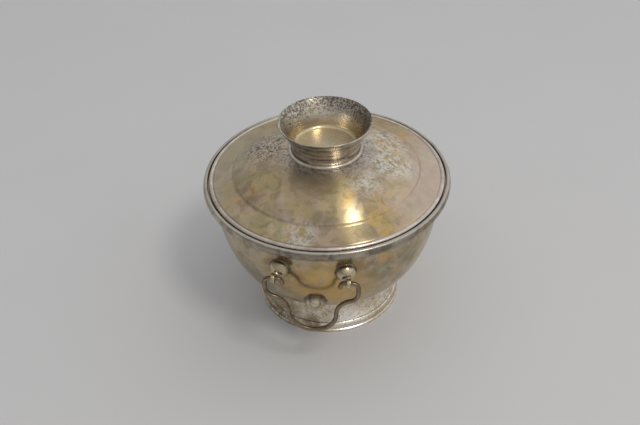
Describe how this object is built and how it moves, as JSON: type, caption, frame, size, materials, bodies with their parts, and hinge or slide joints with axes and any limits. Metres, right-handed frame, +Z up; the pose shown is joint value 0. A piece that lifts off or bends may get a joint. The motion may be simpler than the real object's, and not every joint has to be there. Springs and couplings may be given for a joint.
{
  "type": "sugar bowl",
  "caption": "Round covered silver bowl on a flared foot, with swinging wire bail handles on domed bosses and a domed lift-off lid topped by an open flared cup finial.",
  "frame": {"origin": "middle of the foot's flat underside, on the surface that the bowl stands on", "axes": "+Z up along the bowl's axis; the front handle faces -Y and the rear handle +Y; +X to the right seen from the front, along both handles' hinge lines"},
  "size_m": [0.12, 0.1236, 0.1033],
  "materials": {
    "bowl_silver": "aged sterling silver, satin, with golden brown and olive tarnish",
    "band_silver": "aged sterling silver, dark slate tarnish, worn bright along its top edge",
    "foot_silver": "pale frosted silver with dark pitting",
    "handle_silver": "polished silver with warm tarnish in the hollows",
    "bail_silver": "silver wire with dark brown tarnish, worn bright on its upper edges",
    "lid_silver": "aged sterling silver with golden brown tarnish, grey speckling and whitish bloom",
    "bead_silver": "rubbed bright silver bead",
    "cup_silver": "aged silver, dark grey brown outside, grey with dark spots and gold inside"
  },
  "bodies": {
    "bowl": {"bowl_shell": "bowl_silver", "bowl_rim_band": "band_silver", "foot_flare": "foot_silver", "foot_base_ring": "foot_silver", "front_left_boss": "handle_silver", "front_right_boss": "handle_silver", "rear_left_boss": "handle_silver", "rear_right_boss": "handle_silver", "front_left_eye": "handle_silver", "front_right_eye": "handle_silver", "rear_left_eye": "handle_silver", "rear_right_eye": "handle_silver", "front_stop": "handle_silver", "rear_stop": "handle_silver"},
    "front_handle": {"front_bail": "bail_silver"},
    "rear_handle": {"rear_bail": "bail_silver"},
    "lid": {"lid_shell": "lid_silver", "lid_edge_bead": "bead_silver", "lid_bezel": "bead_silver", "finial_base_bead": "bead_silver", "finial_cup": "cup_silver"}
  },
  "joints": [
    {"name": "lid_lift", "type": "slide", "parent": "bowl", "child": "lid", "axis": [0, 0, 1], "range_m": [0, 0.06]},
    {"name": "front_handle_swing", "type": "hinge", "parent": "bowl", "child": "front_handle", "pos_m": [0, -0.05936, 0.05721], "axis": [-1, 0, 0], "range_deg": [-18, 176]},
    {"name": "rear_handle_swing", "type": "hinge", "parent": "bowl", "child": "rear_handle", "pos_m": [0, 0.05936, 0.05721], "axis": [1, 0, 0], "range_deg": [-18, 176]}
  ]
}
